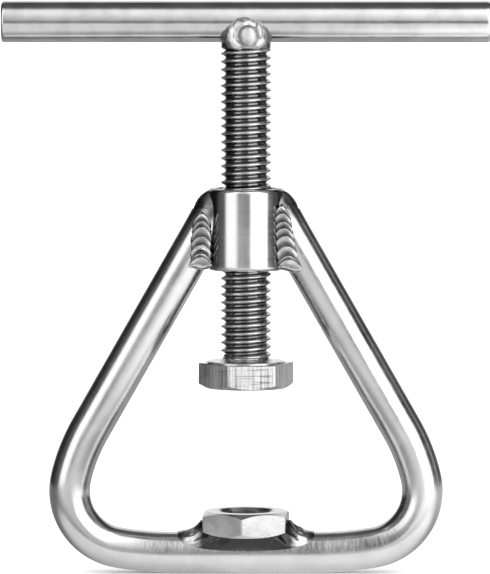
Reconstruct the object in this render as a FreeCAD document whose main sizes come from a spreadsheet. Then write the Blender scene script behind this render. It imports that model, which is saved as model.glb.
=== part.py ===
import FreeCAD, Part
import math
import os

import Sketcher
from FreeCAD import Placement, Rotation, Vector

# A screw nutcracker: a bent rod frame with a threaded bush between its legs,
# a hex-head screw through the bush with a cross handle, and a nut as the anvil.
# Frame: origin under the middle of the foot bar, +Z up the screw, +X along the handle.

SIZES = (
    ("rod_dia", 6.4, "round rod that the frame is bent from"),
    ("foot_half", 11.3, "straight foot bar, middle to the first bend"),
    ("lead_radius", 51.5, "slow bend before each corner"),
    ("lead_angle", 9.8, "degrees of the slow bend"),
    ("corner_radius", 9.05, "tight bend at each corner, to the rod's middle"),
    ("corner_angle", 93.2, "degrees of the tight bend"),
    ("shoulder_radius", 28.5, "slow bend above each corner"),
    ("leg_lean", 29.7, "degrees that each leg leans in from upright"),
    ("bush_dia", 12.0, "outside of the threaded bush"),
    ("bush_height", 12.7, "length of the threaded bush"),
    ("bush_drop", 7.3, "bush below the point where the leg's middle line meets it"),
    ("bush_chamfer", 0.4, "broken edges of the bush"),
    ("mouth_flare", 0.8, "countersink at each end of the bush's thread"),
    ("cap_drop", 3.1, "rod tops are cut off this far below the bush's top"),
    ("cap_round", 4.0, "radius ground on the cap welds"),
    ("thread_dia", 7.9, "screw over its crests, an M8 thread"),
    ("thread_depth", 0.71, "depth of the screw's thread"),
    ("thread_pitch", 1.25, "travel in one turn"),
    ("crest_flat", 0.17, "width of a crest's land"),
    ("thread_gap", 0.1, "clearance between the screw's thread and the bush's"),
    ("hex_flats", 13.0, "across the flats of the screw head and the anvil nut"),
    ("head_height", 3.9, "hexagon of the press head"),
    ("head_turn", -112.0, "degrees from +X to a corner of the press head"),
    ("head_chamfer", 0.75, "height of the chamfer under the press head"),
    ("washer_dia", 12.3, "raised round face on top of the press head"),
    ("washer_height", 0.3, "thickness of the raised face"),
    ("neck_flare", 0.45, "how far the neck flares over the thread"),
    ("neck_height", 1.0, "height of the flared neck"),
    ("rest_gap", 19.3, "between the anvil and the press head at rest"),
    ("screw_length", 53.8, "press face to the underside of the handle bar"),
    ("thread_end", 1.1, "plain end of the screw under the handle bar"),
    ("bar_seat", 1.1, "depth that the screw's end is coped round the bar"),
    ("anvil_height", 3.75, "thin hex nut that is the anvil"),
    ("anvil_seat", 0.4, "depth of the flat under the anvil nut"),
    ("anvil_turn", -95.0, "degrees from +X to a corner of the anvil nut"),
    ("anvil_chamfer", 0.65, "height of the anvil nut's chamfers"),
    ("bar_dia", 6.5, "handle bar"),
    ("bar_length", 76.0, "handle bar, end to end"),
    ("bar_chamfer", 0.4, "broken edges at the bar's ends"),
    ("bead_radius", 1.7, "half width of the welds down the bush"),
    ("ball_radius", 1.7, "ball left at the end of the front handle weld"),
    ("toe_reach", 10.6, "anvil weld, middle to its toe on the foot bar"),
    ("toe_skin", 1.1, "anvil weld over the face of the foot bar"),
    ("toe_drop", 2.3, "anvil weld below the top of the foot bar"),
    ("handle_weld_half", 4.2, "half width of the welds on the handle bar"),
    ("handle_bead", 2.2, "half height of the welds on the handle bar"),
)

# Places that follow from the sizes.  Angles are in degrees.
LAYOUT = (
    ("turned", "Sizes.lead_angle + Sizes.corner_angle"),
    ("shoulder_angle", "90 + Sizes.leg_lean - turned"),
    ("foot_z", "Sizes.rod_dia / 2"),
    ("lead_x", "Sizes.foot_half + Sizes.lead_radius * sin(Sizes.lead_angle)"),
    ("lead_z", "foot_z + Sizes.lead_radius * (1 - cos(Sizes.lead_angle))"),
    ("corner_x", "lead_x + Sizes.corner_radius * (sin(turned) - sin(Sizes.lead_angle))"),
    ("corner_z", "lead_z + Sizes.corner_radius * (cos(Sizes.lead_angle) - cos(turned))"),
    ("leg_x", "corner_x + Sizes.shoulder_radius * (cos(Sizes.leg_lean) - sin(turned))"),
    ("leg_z", "corner_z + Sizes.shoulder_radius * (cos(turned) + sin(Sizes.leg_lean))"),
    ("bush_r", "Sizes.bush_dia / 2"),
    ("meet_z", "leg_z + (leg_x - bush_r) / tan(Sizes.leg_lean)"),
    ("apex_z", "leg_z + leg_x / tan(Sizes.leg_lean)"),
    ("bush_z", "meet_z - Sizes.bush_drop"),
    ("bush_top", "bush_z + Sizes.bush_height"),
    ("cap_z", "bush_top - Sizes.cap_drop"),
    ("anvil_z", "Sizes.rod_dia - Sizes.anvil_seat"),
    ("anvil_top", "anvil_z + Sizes.anvil_height"),
    ("press_z", "anvil_top + Sizes.rest_gap"),
    ("washer_z", "press_z + Sizes.head_height"),
    ("neck_z", "washer_z + Sizes.washer_height"),
    ("thread_z", "neck_z + Sizes.neck_height"),
    ("bar_bottom", "press_z + Sizes.screw_length"),
    ("bar_z", "bar_bottom + Sizes.bar_dia / 2"),
    ("screw_top", "bar_bottom + Sizes.bar_seat"),
    ("crest_r", "Sizes.thread_dia / 2"),
    ("root_r", "crest_r - Sizes.thread_depth"),
    ("neck_r", "crest_r + Sizes.neck_flare"),
    ("bore_r", "root_r + 1.5 * Sizes.thread_gap"),
    ("hex_r", "Sizes.hex_flats / 2 / cos(30)"),
    ("hex_in", "Sizes.hex_flats / 2"),
)

FLANK = "tan(30)"  # each side of a metric thread leans 30 degrees
OVERRUN = 0.2  # a thread's cutter reaches this far past the surface it cuts

document = FreeCAD.newDocument("nutcracker")


def fill_sheet(name, rows, formula):
    """Make a spreadsheet with one aliased cell for each row: number or formula."""
    sheet = document.addObject("Spreadsheet::Sheet", name)
    for line, row in enumerate(rows, start=1):
        sheet.set(f"A{line}", row[0])
        sheet.set(f"B{line}", f"={row[1]}" if formula else str(row[1]))
        sheet.setAlias(f"B{line}", row[0])
        if len(row) > 2:
            sheet.set(f"C{line}", row[2])
    document.recompute()
    return sheet


sizes = fill_sheet("Sizes", SIZES, formula=False)
layout = fill_sheet("Layout", LAYOUT, formula=True)


def value(expression):
    """The number that an expression over the two sheets gives now."""
    found = layout.evalExpression(qualified(expression))
    return float(getattr(found, "Value", found))


def qualified(expression):
    """Put the sheet's name before each alias that an expression uses bare."""
    text = expression
    for sheet, rows in (("Sizes", SIZES), ("Layout", LAYOUT)):
        for row in rows:
            text = replace_word(text, row[0], f"<<{sheet}>>.{row[0]}")
    return text


def replace_word(text, word, new):
    """Replace a whole word that no letter, digit, underscore or dot touches."""
    out, at = "", 0
    while True:
        found = text.find(word, at)
        if found < 0:
            return out + text[at:]
        end = found + len(word)
        before = text[found - 1] if found else " "
        after = text[end] if end < len(text) else " "
        whole = not (before.isalnum() or before in "_." or after.isalnum() or after == "_")
        out += text[at:found] + (new if whole else word)
        at = end


def bind(target, path, expression):
    """Drive one property of an object, or one constraint of a sketch, from the sheets."""
    target.setExpression(path, qualified(expression))


def new_body(name):
    """A PartDesign body whose label names the sub-part."""
    body = document.addObject("PartDesign::Body", name)
    body.Label = name
    document.recompute()
    return body


def new_sketch(body, name, role, height=None):
    """A sketch on one of the body's own origin planes, lifted to a height above it."""
    sketch = body.newObject("Sketcher::SketchObject", name)
    plane = next(f for f in body.Origin.OriginFeatures if f.Role == role)
    sketch.AttachmentSupport = [(plane, "")]
    sketch.MapMode = "FlatFace"
    if height is not None:
        bind(sketch, "AttachmentOffset.Base.z", height)
    return sketch


def place_point(sketch, geometry, position, coordinates):
    """Hold one point of a sketch at coordinates that are expressions."""
    for axis, kind in enumerate(("DistanceX", "DistanceY")):
        expression = coordinates[axis]
        constraint = Sketcher.Constraint(kind, -1, 1, geometry, position, value(expression))
        index = sketch.addConstraint(constraint)
        bind(sketch, f"Constraints[{index}]", expression)


def outline(sketch, points):
    """A closed outline of straight lines through points that are pairs of expressions."""
    corners = [Vector(value(across), value(up), 0) for across, up in points]
    for start, end in zip(corners, corners[1:] + corners[:1]):
        sketch.addGeometry(Part.LineSegment(start, end), False)
    for index in range(len(corners)):
        after = (index + 1) % len(corners)
        sketch.addConstraint(Sketcher.Constraint("Coincident", index, 2, after, 1))
        place_point(sketch, index, 1, points[index])


def circle(sketch, radius):
    """A circle about the sketch's own origin."""
    index = sketch.addGeometry(Part.Circle(Vector(), Vector(0, 0, 1), value(radius)), False)
    sketch.addConstraint(Sketcher.Constraint("Coincident", index, 3, -1, 1))
    size = sketch.addConstraint(Sketcher.Constraint("Radius", index, value(radius)))
    bind(sketch, f"Constraints[{size}]", radius)


def hexagon(sketch, corner_radius, turn):
    """A regular hexagon about the origin, with its first corner at an angle from +X."""
    points = []
    for corner in range(6):
        angle = f"({turn} + {60 * corner})"
        points.append((f"{corner_radius} * cos{angle}", f"{corner_radius} * sin{angle}"))
    outline(sketch, points)


def feature(body, kind, name, sketch, **settings):
    """A PartDesign feature on a sketch; text settings are expressions."""
    made = body.newObject(f"PartDesign::{kind}", name)
    made.Profile = sketch
    for key, setting in settings.items():
        if isinstance(setting, str):
            bind(made, key, setting)
        else:
            setattr(made, key, setting)
    document.recompute()
    return made


def cutting(body, kind, name, sketch, **settings):
    """A feature that must take material away."""
    before = body.Shape.Volume
    made = feature(body, kind, name, sketch, **settings)
    if not made.Shape.Volume < before:
        raise RuntimeError(f"{name} cut nothing")
    return made


def cut_thread(body, name, radii, centre, half_width, length):
    """Cut a right-hand vee groove: radii from its narrow end to its open end."""
    sketch = new_sketch(body, f"{name}_profile", "XZ_Plane")
    narrow, wide = radii
    outline(sketch, (
        (narrow, f"{centre} - ({half_width(narrow)})"),
        (wide, f"{centre} - ({half_width(wide)})"),
        (wide, f"{centre} + ({half_width(wide)})"),
        (narrow, f"{centre} + ({half_width(narrow)})"),
    ))
    document.recompute()
    cutting(body, "SubtractiveHelix", name, sketch, ReferenceAxis=(sketch, ["V_Axis"]),
            Mode=0, Pitch="thread_pitch", Height=length, Angle=0.0)


def chamfer_rim(body, name, bottom, top):
    """Turn a 30 degree chamfer on a hexagon: the cut is full at bottom, nothing at top."""
    sketch = new_sketch(body, f"{name}_profile", "XZ_Plane")
    reach = f"(hex_in + ({top} - {bottom}) / {FLANK})"
    if value(f"{top} - {bottom}") < 0:
        reach = f"(hex_in + ({bottom} - {top}) / {FLANK})"
    outline(sketch, ((f"hex_in * 0.97", bottom), (reach, bottom), (reach, top)))
    cutting(body, "Groove", name, sketch, ReferenceAxis=(sketch, ["V_Axis"]), Angle=360.0)


def inner_half_width(radius):
    """Half width of the groove that lets the screw's thread pass with its clearance."""
    return f"crest_flat / 2 + (crest_r - {radius}) * {FLANK} + thread_gap / cos(30)"


def outer_half_width(radius):
    """Half width of the groove between two of the screw's own threads."""
    return f"thread_pitch / 2 - crest_flat / 2 - (crest_r - {radius}) * {FLANK}"


def cut_inner_thread(body, name, bottom, height):
    """Thread a bore from end to end, in step with the screw."""
    turns = f"(ceil(({bottom} - thread_z) / thread_pitch) - 2.5)"
    cut_thread(body, name, ("(crest_r + thread_gap)", "(bore_r - thread_gap)"),
               f"(thread_z + {turns} * thread_pitch)", inner_half_width,
               f"{height} + 3 * thread_pitch")


def make_frame_rod():
    """One rod bent to a rounded triangle, its legs cut to seat against the bush."""
    body = new_body("frame_rod")
    section = new_sketch(body, "rod_section", "YZ_Plane")
    centre = ("0", "foot_z")
    index = section.addGeometry(
        Part.Circle(Vector(0, value(centre[1]), 0), Vector(0, 0, 1), value("foot_z")), False)
    section.addConstraint(Sketcher.Constraint("PointOnObject", index, 3, -2))
    drop = section.addConstraint(
        Sketcher.Constraint("DistanceY", -1, 1, index, 3, value(centre[1])))
    bind(section, f"Constraints[{drop}]", centre[1])
    size = section.addConstraint(Sketcher.Constraint("Diameter", index, value("rod_dia")))
    bind(section, f"Constraints[{size}]", "rod_dia")

    path = new_sketch(body, "rod_path", "XZ_Plane")
    stops = (("0", "foot_z"), ("foot_half", "foot_z"), ("lead_x", "lead_z"),
             ("corner_x", "corner_z"), ("leg_x", "leg_z"), ("0", "apex_z"))
    bends = {1: ("lead_radius", "0", "lead_angle"),
             2: ("corner_radius", "lead_angle", "turned"),
             3: ("shoulder_radius", "turned", "turned + shoulder_angle")}
    for index, (start, end) in enumerate(zip(stops, stops[1:])):
        first = Vector(value(start[0]), value(start[1]), 0)
        last = Vector(value(end[0]), value(end[1]), 0)
        if index not in bends:
            path.addGeometry(Part.LineSegment(first, last), False)
            continue
        radius, begin, finish = (value(term) for term in bends[index])
        side = math.radians(begin)
        middle = first + Vector(-math.sin(side), math.cos(side), 0) * radius
        arc = Part.ArcOfCircle(Part.Circle(middle, Vector(0, 0, 1), radius),
                               math.radians(begin - 90), math.radians(finish - 90))
        path.addGeometry(arc, False)
    last = len(stops) - 2
    for index in range(last):
        path.addConstraint(Sketcher.Constraint("Tangent", index, 2, index + 1, 1))
    for index, (radius, _, _) in bends.items():
        bend = path.addConstraint(Sketcher.Constraint("Radius", index, value(radius)))
        bind(path, f"Constraints[{bend}]", radius)
    path.addConstraint(Sketcher.Constraint("PointOnObject", 0, 1, -2))
    path.addConstraint(Sketcher.Constraint("Horizontal", 0))
    place_point(path, 0, 2, stops[1])
    for index, angle in ((1, "lead_angle"), (2, "corner_angle"), (3, "shoulder_angle")):
        span = path.addConstraint(
            Sketcher.Constraint("Angle", index, math.radians(value(angle))))
        bind(path, f"Constraints[{span}]", f"{angle} * 1deg")
    path.addConstraint(Sketcher.Constraint("PointOnObject", last, 2, -2))
    document.recompute()
    pipe = feature(body, "AdditivePipe", "rod_bend", section, Spine=path)

    seat = new_sketch(body, "bush_seat", "XY_Plane", "foot_z * 3")
    circle(seat, "bush_r")
    cutting(body, "Pocket", "bush_cut", seat, Type=1, Reversed=True)
    top = new_sketch(body, "rod_top", "XZ_Plane")
    outline(top, (("0", "cap_z"), ("bush_dia", "cap_z"), ("bush_dia", "apex_z + rod_dia"),
                  ("0", "apex_z + rod_dia")))
    cutting(body, "Pocket", "top_cut", top, Midplane=True, Length="2 * rod_dia")
    flat = new_sketch(body, "anvil_flat", "XZ_Plane")
    outline(flat, (("0", "anvil_z"), ("hex_r", "anvil_z"), ("hex_r", "rod_dia * 1.5"),
                   ("0", "rod_dia * 1.5")))
    cutting(body, "Pocket", "anvil_seat", flat, Midplane=True, Length="2 * rod_dia")
    half = body.Tip
    mirror = body.newObject("PartDesign::Mirrored", "other_half")
    mirror.Originals = [pipe]
    plane = next(f for f in body.Origin.OriginFeatures if f.Role == "YZ_Plane")
    mirror.MirrorPlane = (plane, [""])
    mirror.TransformMode = "Whole shape"
    body.Tip = mirror
    document.recompute()
    if mirror.Shape.Volume < 1.99 * half.Shape.Volume:
        raise RuntimeError("the frame's second half is missing")
    return body


def make_threaded_bush():
    """Round bush, threaded from end to end between countersunk mouths."""
    body = new_body("threaded_bush")
    disc = new_sketch(body, "bush_section", "XZ_Plane")
    outline(disc, (
        ("bore_r + mouth_flare", "bush_z"), ("bush_r - bush_chamfer", "bush_z"),
        ("bush_r", "bush_z + bush_chamfer"), ("bush_r", "bush_top - bush_chamfer"),
        ("bush_r - bush_chamfer", "bush_top"), ("bore_r + mouth_flare", "bush_top"),
        ("bore_r", "bush_top - mouth_flare"), ("bore_r", "bush_z + mouth_flare"),
    ))
    feature(body, "Revolution", "bush_turned", disc, ReferenceAxis=(disc, ["V_Axis"]),
            Angle=360.0)
    cut_inner_thread(body, "bush_thread", "bush_z", "bush_height")
    return body


def make_anvil_nut():
    """Thin hex nut, chamfered on both sides."""
    body = new_body("anvil_nut")
    plan = new_sketch(body, "nut_plan", "XY_Plane", "anvil_z")
    hexagon(plan, "hex_r", "anvil_turn")
    feature(body, "Pad", "nut_blank", plan, Length="anvil_height")
    chamfer_rim(body, "nut_under", "anvil_z", "(anvil_z + anvil_chamfer)")
    chamfer_rim(body, "nut_over", "anvil_top", "(anvil_top - anvil_chamfer)")
    hole = new_sketch(body, "nut_hole", "XY_Plane", "anvil_z")
    circle(hole, "bore_r")
    cutting(body, "Pocket", "nut_bore", hole, Type=1, Reversed=True)
    cut_inner_thread(body, "nut_thread", "anvil_z", "anvil_height")
    return body


def make_hex_screw():
    """Full-thread hex screw, head down, its upper end coped round the handle bar."""
    body = new_body("hex_screw")
    plan = new_sketch(body, "head_plan", "XY_Plane", "press_z")
    hexagon(plan, "hex_r", "head_turn")
    feature(body, "Pad", "head_blank", plan, Length="head_height")
    chamfer_rim(body, "head_rim", "press_z", "(press_z + head_chamfer)")
    shank = new_sketch(body, "shank_section", "XZ_Plane")
    outline(shank, (
        ("0", "washer_z"), ("neck_r", "washer_z"), ("neck_r", "neck_z"),
        ("crest_r", "neck_z + neck_flare"), ("crest_r", "screw_top"), ("0", "screw_top"),
    ))
    feature(body, "Revolution", "shank", shank, ReferenceAxis=(shank, ["V_Axis"]),
            Angle=360.0)
    cut_thread(body, "screw_thread", ("root_r", f"(crest_r + {OVERRUN})"),
               "thread_z", outer_half_width, "bar_bottom - thread_end - thread_z")
    cope = new_sketch(body, "bar_outline", "YZ_Plane")
    index = cope.addGeometry(
        Part.Circle(Vector(0, value("bar_z"), 0), Vector(0, 0, 1), value("bar_dia / 2")), False)
    cope.addConstraint(Sketcher.Constraint("PointOnObject", index, 3, -2))
    height = cope.addConstraint(
        Sketcher.Constraint("DistanceY", -1, 1, index, 3, value("bar_z")))
    bind(cope, f"Constraints[{height}]", "bar_z")
    size = cope.addConstraint(Sketcher.Constraint("Diameter", index, value("bar_dia")))
    bind(cope, f"Constraints[{size}]", "bar_dia")
    cutting(body, "Pocket", "bar_cope", cope, Midplane=True, Length="2 * bar_dia")
    return body


def make_washer_face():
    """The raised round face on top of the press head."""
    body = new_body("washer_face")
    ring = new_sketch(body, "washer_section", "XZ_Plane")
    outline(ring, (
        ("neck_r + thread_gap", "washer_z"), ("washer_dia / 2", "washer_z"),
        ("washer_dia / 2", "neck_z"), ("neck_r + thread_gap", "neck_z"),
    ))
    feature(body, "Revolution", "washer_turned", ring, ReferenceAxis=(ring, ["V_Axis"]),
            Angle=360.0)
    return body


def make_handle_bar():
    """Straight round bar across the top of the screw."""
    body = new_body("handle_bar")
    section = new_sketch(body, "bar_section", "XZ_Plane")
    end = "bar_length / 2"
    outline(section, (
        (f"-{end}", "bar_z"), (f"-{end}", "bar_z + bar_dia / 2 - bar_chamfer"),
        (f"-{end} + bar_chamfer", "bar_z + bar_dia / 2"),
        (f"{end} - bar_chamfer", "bar_z + bar_dia / 2"),
        (end, "bar_z + bar_dia / 2 - bar_chamfer"), (end, "bar_z"),
    ))
    feature(body, "Revolution", "bar_turned", section, ReferenceAxis=(section, ["Edge6"]),
            Angle=360.0)
    return body


def shape_object(name, shape):
    """A helper solid that a weld starts from."""
    made = document.addObject("Part::Feature", name)
    made.Shape = shape
    return made


def without(name, base, tools):
    """A sub-part made by cutting each piece that it lies against out of a helper solid."""
    left = base
    for tool in tools:
        cut = document.addObject("Part::Cut", f"{name}_off_{tool.Label}")
        cut.Base = left
        cut.Tool = tool
        document.recompute()
        if not cut.Shape.Volume < left.Shape.Volume:
            raise RuntimeError(f"{name} doesn't reach {tool.Label}")
        left = cut
    left.Label = name
    return left


def bead(points, radius):
    """A round-ended weld bead along the arc through three points."""
    arc = Part.Arc(*points)
    start, end = arc.value(arc.FirstParameter), arc.value(arc.LastParameter)
    section = Part.Wire(Part.Circle(start, arc.tangent(arc.FirstParameter)[0], radius).toShape())
    run = Part.Wire(arc.toShape()).makePipeShell([section], True, True)
    return run.multiFuse([Part.makeSphere(radius, start), Part.makeSphere(radius, end)])


def sided(shape, side):
    """The shape as made for the right side, or turned half round the screw for the left."""
    if side < 0:
        shape.rotate(Vector(), Vector(0, 0, 1), 180)
    return shape


def make_bush_weld(name, side, face, tools):
    """Weld down one side of the bush, in the valley between the bush and a leg."""
    bush, rod, radius = value("bush_r"), value("foot_z"), value("bead_radius")
    top, bottom = value("cap_z"), value("bush_z")
    face = face * side  # the left welds are turned round from the right ones
    points = (
        Vector(bush, face * rod, top - 0.5 * radius),
        Vector(bush + 0.3 * radius, face * 0.97 * rod, (top + bottom) / 2),
        Vector(bush + 0.75 * radius, face * 0.6 * rod, bottom + 0.2 * radius),
    )
    return without(name, shape_object(f"{name}_bead", sided(bead(points, radius), side)), tools)


def make_cap_weld(name, side, tools):
    """Weld ground smooth over a leg's top, in line with the leg and rounded to the bush."""
    rod, bush, lean = value("foot_z"), value("bush_r"), math.radians(value("leg_lean"))
    low, high, ground = value("cap_z"), value("bush_top"), value("cap_round")
    along = Vector(-math.sin(lean), 0, math.cos(lean))
    leg = Part.makeCylinder(rod, value("apex_z"), Vector(value("leg_x"), 0, value("leg_z")), along)
    slab = Part.makeBox(3 * bush, 4 * rod, high - low, Vector(0, -2 * rod, low))
    outer = bush + rod / math.cos(lean) - (high - value("meet_z")) * math.tan(lean)
    # the ground corner is a round along Y, tangent to the bush's top and to the leg's back
    middle = Vector(outer - ground * math.tan(math.pi / 4 - lean / 2), -2 * rod, high - ground)
    rounder = Part.makeCylinder(ground, 4 * rod, middle, Vector(0, 1, 0))
    corner = Part.makeBox(2 * bush, 4 * rod, high, middle)
    sharp = corner.common(Part.makeBox(2 * bush, 4 * rod, high, middle)).cut(rounder)
    blank = leg.common(slab).cut(sharp).cut(Part.makeCylinder(bush, 2 * high))
    return without(name, shape_object(f"{name}_blank", sided(blank, side)), tools)


def make_anvil_weld(name, side, nut, tools):
    """Hollow-faced weld between the anvil nut and the foot bar, one half, none in the bore."""
    rod, toe, skin = value("foot_z"), value("toe_reach"), value("toe_skin")
    low, crown = value("rod_dia - toe_drop"), value("anvil_z + anvil_height / 2")
    inner, top, hollow = value("hex_in") + 0.3, value("rod_dia") - 0.05, 0.35
    arc = Part.Arc(Vector(toe, 0, top),
                   Vector((toe + inner) / 2 - hollow, 0, (top + crown) / 2 - hollow),
                   Vector(inner, 0, crown)).toShape()
    rest = Part.makePolygon([Vector(inner, 0, crown), Vector(0, 0, crown), Vector(0, 0, low),
                             Vector(toe - skin, 0, low), Vector(toe, 0, top)])
    dish = Part.Face(Part.Wire([arc] + rest.Edges))
    dish.rotate(Vector(), Vector(0, 0, 1), -90)
    half = dish.revolve(Vector(), Vector(0, 0, 1), 180)
    width = 2 * (rod + skin)
    shell = Part.makeCylinder(rod + skin, 2 * toe, Vector(0, 0, rod), Vector(1, 0, 0))
    shell = shell.fuse(Part.makeBox(2 * toe, width, crown, Vector(0, -width / 2, rod)))
    blank = sided(half.common(shell), side).cut(nut.Shape)
    return without(name, shape_object(f"{name}_blank", blank), tools)


def make_handle_weld(name, face, tools, ball):
    """Weld across one face of the screw's end, under the handle bar."""
    radius, reach = value("handle_bead"), value("handle_weld_half") - value("handle_bead")
    bar, screw, height = value("bar_dia / 2"), value("crest_r"), value("bar_bottom + 0.2 * bar_dia")
    points = (
        Vector(-reach, face * 0.8 * bar, height - 0.15 * radius),
        Vector(0, face * 0.85 * screw, height),
        Vector(reach, face * 0.8 * bar, height - 0.15 * radius),
    )
    lump = bead(points, radius)
    if ball:
        size = value("ball_radius")
        spot = Vector(0.35 * size, face * (screw + radius - 0.8 * size), height - 0.5 * size)
        lump = lump.fuse(Part.makeSphere(size, spot))
    return without(name, shape_object(f"{name}_lump", lump), tools)


frame_rod = make_frame_rod()
threaded_bush = make_threaded_bush()
anvil_nut = make_anvil_nut()
hex_screw = make_hex_screw()
washer_face = make_washer_face()
handle_bar = make_handle_bar()

parts = [frame_rod, threaded_bush, anvil_nut, hex_screw, washer_face, handle_bar]
for side_name, side in (("left", -1), ("right", 1)):
    cap = make_cap_weld(f"cap_weld_{side_name}", side, [frame_rod, threaded_bush])
    parts.append(cap)
    for face_name, face in (("front", -1), ("rear", 1)):
        parts.append(make_bush_weld(f"bush_weld_{side_name}_{face_name}", side, face,
                                    [frame_rod, threaded_bush, cap]))
    parts.append(make_anvil_weld(f"anvil_weld_{side_name}", side,
                                 document.getObject("nut_over"), [frame_rod]))
for face_name, face in (("front", -1), ("rear", 1)):
    parts.append(make_handle_weld(f"handle_weld_{face_name}", face, [handle_bar, hex_screw],
                                  ball=face < 0))
document.recompute()

for item in document.Objects:
    if "Invalid" in item.State or "Error" in item.State:
        raise RuntimeError(f"{item.Name} did not compute: {item.State}")
for part in parts:
    if part.Shape.isNull() or not part.Shape.isValid():
        raise RuntimeError(f"{part.Label} has no valid shape")
os.makedirs("parts", exist_ok=True)
for part in parts:
    part.Shape.exportStep(f"parts/{part.Label}.step")
    box = part.Shape.BoundBox
    print(f"{part.Label}: {len(part.Shape.Solids)} solid(s), {part.Shape.Volume:.1f} mm3, "
          f"z {box.ZMin:.2f} to {box.ZMax:.2f}")
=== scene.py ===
"""Looks for a screw nutcracker: a bent stainless rod frame, a threaded bush, a hex screw, a cross bar.

Every piece is modelled in millimetres in the CAD model's frame and becomes metres at the end.
"""

import logging
from collections.abc import Callable
from dataclasses import dataclass, replace
from enum import Enum
from math import ceil, copysign, cos, exp, floor, hypot, pi, radians, sin, sqrt, tan, tau

import bmesh
import bpy
from bmesh.types import BMEdge, BMesh, BMVert
from bpy.types import NodeSocket, NodeTree
from mathutils import Matrix, Vector, noise


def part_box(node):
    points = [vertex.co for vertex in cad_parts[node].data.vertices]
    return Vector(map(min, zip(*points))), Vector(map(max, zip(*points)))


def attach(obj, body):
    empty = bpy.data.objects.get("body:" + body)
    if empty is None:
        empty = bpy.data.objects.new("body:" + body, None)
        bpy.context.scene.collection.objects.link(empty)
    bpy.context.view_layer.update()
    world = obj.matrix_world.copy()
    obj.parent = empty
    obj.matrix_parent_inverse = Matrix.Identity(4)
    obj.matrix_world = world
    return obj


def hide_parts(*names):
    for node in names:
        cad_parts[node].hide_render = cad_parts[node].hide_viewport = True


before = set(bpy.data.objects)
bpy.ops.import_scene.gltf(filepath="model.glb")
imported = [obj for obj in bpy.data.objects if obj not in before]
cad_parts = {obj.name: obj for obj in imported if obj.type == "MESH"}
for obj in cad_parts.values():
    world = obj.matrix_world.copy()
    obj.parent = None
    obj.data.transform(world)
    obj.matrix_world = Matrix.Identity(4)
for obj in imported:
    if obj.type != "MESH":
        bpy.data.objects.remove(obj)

LOG = logging.getLogger("nutcracker")
MM = 0.001  # one millimetre in metres
GRAIN = "grain"  # point attribute: millimetres along, across and through the lay of a bent rod
RIPPLE = "ripple"  # point attribute: 0 on a weld ripple's rim, 1 at the foot of it
FACET = radians(30)  # edges that turn more than this stay crisp
VOXEL = 0.11  # fineness of the welds, in millimetres
PLUS, TIMES = {"operation": "ADD"}, {"operation": "MULTIPLY"}


# ---------------------------------------------------------------- finishes

def linear(code: str) -> tuple[float, float, float, float]:
    """Turn an sRGB hex colour into the linear colour that shaders take.

    Args:
        code: Six hex digits after a hash sign.

    Returns:
        Linear red, green, blue and an alpha of 1.
    """
    parts = (int(code[place:place + 2], 16) / 255 for place in (1, 3, 5))
    red, green, blue = (c / 12.92 if c <= 0.04045 else ((c + 0.055) / 1.055) ** 2.4 for c in parts)
    return red, green, blue, 1.0


def empty_tree(owner: bpy.types.Material | bpy.types.World) -> NodeTree:
    """Give a material's or a world's node tree with nothing in it."""
    owner.use_nodes = True
    owner.node_tree.nodes.clear()
    return owner.node_tree


def add_node(tree: NodeTree, kind: str, settings: dict | None = None,
             inputs: dict | tuple = ()) -> bpy.types.bpy_prop_collection:
    """Add one shader node with its settings, its input values and its links.

    Args:
        tree: The node tree that it goes in.
        kind: The node's type, without the ShaderNode in front.
        settings: Attributes of the node itself.
        inputs: Numbers, colours or other nodes' outputs, by input name or number, or in order.

    Returns:
        The new node's outputs.
    """
    node = tree.nodes.new(f"ShaderNode{kind}")
    for key, setting in (settings or {}).items():
        setattr(node, key, setting)
    for key, given in inputs.items() if isinstance(inputs, dict) else enumerate(inputs):
        if isinstance(given, NodeSocket):
            tree.links.new(given, node.inputs[key])
        else:
            node.inputs[key].default_value = given
    return node.outputs


def readings(tree: NodeTree, place: NodeSocket) -> tuple[NodeSocket, ...]:
    """Give X, Y, Z and the distance out from the Z axis, in millimetres, of a place in metres."""
    scaled = add_node(tree, "VectorMath", {"operation": "SCALE"}, {0: place, "Scale": 1 / MM})[0]
    x, y, z = add_node(tree, "SeparateXYZ", {}, (scaled,))
    level = add_node(tree, "CombineXYZ", {}, (x, y))[0]
    return x, y, z, add_node(tree, "VectorMath", {"operation": "LENGTH"}, (level,))["Value"]


def window(tree: NodeTree, source: NodeSocket, low: float, high: float, soft: float) -> NodeSocket:
    """Give 1 where a number lies in a window and 0 outside it.

    Args:
        tree: The node tree.
        source: The number.
        low: Where the window opens.
        high: Where it shuts.
        soft: Half the width of its edges.

    Returns:
        The window's output.
    """
    sides = (add_node(tree, "MapRange", {"interpolation_type": "SMOOTHSTEP"},
                      (source, edge - soft, edge + soft, start, 1 - start))[0]
             for edge, start in ((low, 0.0), (high, 1.0)))
    return add_node(tree, "Math", TIMES, tuple(sides))[0]


def pattern(tree: NodeTree, place: NodeSocket, cell: tuple[float, float, float], detail: float,
            turn: tuple[float, float, float] = (0.0, 0.0, 0.0)) -> NodeSocket:
    """Add a stretched noise.

    Args:
        tree: The material's node tree.
        place: Where the surface is.
        cell: Size of one cell along each axis, in millimetres.
        detail: How many finer layers the noise has.
        turn: How the cells are tilted, in radians.

    Returns:
        The noise, about 0.3 to 0.7.
    """
    spaced = add_node(tree, "Mapping", {}, {"Vector": place, "Rotation": turn,
                                            "Scale": tuple(1 / (size * MM) for size in cell)})[0]
    return add_node(tree, "TexNoise", {}, {"Vector": spaced, "Scale": 1.0, "Detail": detail})[0]


class Lay(Enum):
    """Which way the fine marks of a worked surface run."""

    BENT_ROD = "along the rod, round its bends"
    ALONG_X = "along the cross bar"
    TURNED = "round the screw's axis"
    SCATTERED = "no one way"


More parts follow.
